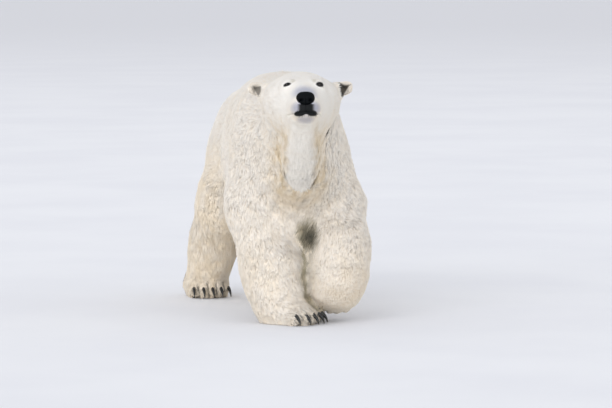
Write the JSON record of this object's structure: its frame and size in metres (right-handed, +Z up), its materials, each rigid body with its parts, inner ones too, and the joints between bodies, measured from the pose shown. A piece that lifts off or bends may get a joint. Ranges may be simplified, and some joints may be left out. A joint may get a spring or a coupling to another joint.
{
  "type": "polar bear, life-size still model",
  "caption": "Life-size polar bear standing on three feet in mid stride, its left forepaw lifted and its head raised, as a still museum model.",
  "frame": {"origin": "on the floor, under the middle of the bear's bounding box", "axes": "-Y ahead, the way the bear walks; +X to the bear's left; +Z up"},
  "size_m": [0.621, 1.9296, 1.0717],
  "materials": {
    "fur": "matte",
    "nose_skin": "satin",
    "claw_horn": "satin",
    "eye": "gloss"
  },
  "bodies": {
    "root": {"claw_forepaw_left_1": "claw_horn", "claw_forepaw_left_2": "claw_horn", "claw_forepaw_left_3": "claw_horn", "claw_forepaw_left_4": "claw_horn", "claw_forepaw_left_5": "claw_horn", "claw_forepaw_right_1": "claw_horn", "claw_forepaw_right_2": "claw_horn", "claw_forepaw_right_3": "claw_horn", "claw_forepaw_right_4": "claw_horn", "claw_forepaw_right_5": "claw_horn", "claw_hindpaw_left_1": "claw_horn", "claw_hindpaw_left_2": "claw_horn", "claw_hindpaw_left_3": "claw_horn", "claw_hindpaw_left_4": "claw_horn", "claw_hindpaw_left_5": "claw_horn", "claw_hindpaw_right_1": "claw_horn", "claw_hindpaw_right_2": "claw_horn", "claw_hindpaw_right_3": "claw_horn", "claw_hindpaw_right_4": "claw_horn", "claw_hindpaw_right_5": "claw_horn", "ear_left": "fur", "ear_right": "fur", "eye_left": "eye", "eye_right": "eye", "foreleg_left": "fur", "foreleg_right": "fur", "forepaw_left": "fur", "forepaw_right": "fur", "head": "fur", "hindleg_left": "fur", "hindleg_right": "fur", "hindpaw_left": "fur", "hindpaw_right": "fur", "lower_jaw": "fur", "neck": "fur", "nose": "nose_skin", "tail": "fur", "trunk": "fur"}
  },
  "joints": []
}
